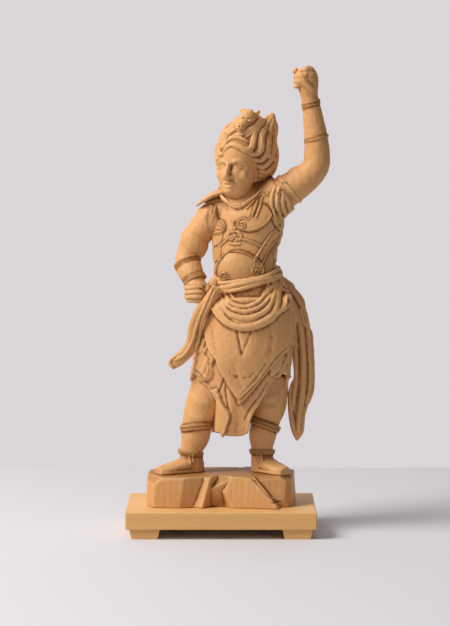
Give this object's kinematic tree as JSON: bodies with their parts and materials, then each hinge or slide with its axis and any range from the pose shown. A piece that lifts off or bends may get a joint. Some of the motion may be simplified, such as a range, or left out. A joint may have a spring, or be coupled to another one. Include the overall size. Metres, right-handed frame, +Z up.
{
  "type": "carved guardian figure",
  "caption": "Carved wooden armoured guardian figure with a raised fist, standing on a rock that lifts off a low plain stand.",
  "frame": {"origin": "under the middle of the whole object's outline, on the surface that the stand rests on", "axes": "+Z up; the figure faces -Y; +X to the viewer's right, the side of the raised fist"},
  "size_m": [0.1042, 0.064, 0.239],
  "materials": {
    "carved_wood": "bare, fine chisel finish, warm tan with darker stained edges and recesses",
    "rock_wood": "bare, faceted by a flat chisel",
    "pale_cypress": "planed smooth, bare",
    "dowel_wood": "bare",
    "bamboo": "bare"
  },
  "bodies": {
    "stand": {"stand_board": "pale_cypress", "stand_batten_left": "pale_cypress", "stand_batten_right": "pale_cypress", "batten_pegs": "bamboo", "locating_pegs": "dowel_wood"},
    "figure": {"rock_base": "rock_wood", "foot_pegs": "dowel_wood", "right_boot": "carved_wood", "left_boot": "carved_wood", "ankle_dowels": "dowel_wood", "right_leg": "carved_wood", "left_leg": "carved_wood", "leg_dowels": "dowel_wood", "skirt_block": "carved_wood", "waist_dowel": "dowel_wood", "torso": "carved_wood", "head": "carved_wood", "ox_ornament": "carved_wood", "ornament_pin": "dowel_wood", "right_upper_arm": "carved_wood", "right_forearm": "carved_wood", "right_hand": "carved_wood", "left_upper_arm": "carved_wood", "left_forearm": "carved_wood", "left_hand": "carved_wood", "shoulder_dowels": "dowel_wood", "elbow_dowels": "dowel_wood", "wrist_pins": "dowel_wood", "right_scarf": "carved_wood", "left_scarf": "carved_wood", "scarf_pins": "dowel_wood"}
  },
  "joints": [
    {"name": "figure_lift", "type": "slide", "parent": "stand", "child": "figure", "axis": [0, 0, 1], "range_m": [0, 0.01]}
  ]
}
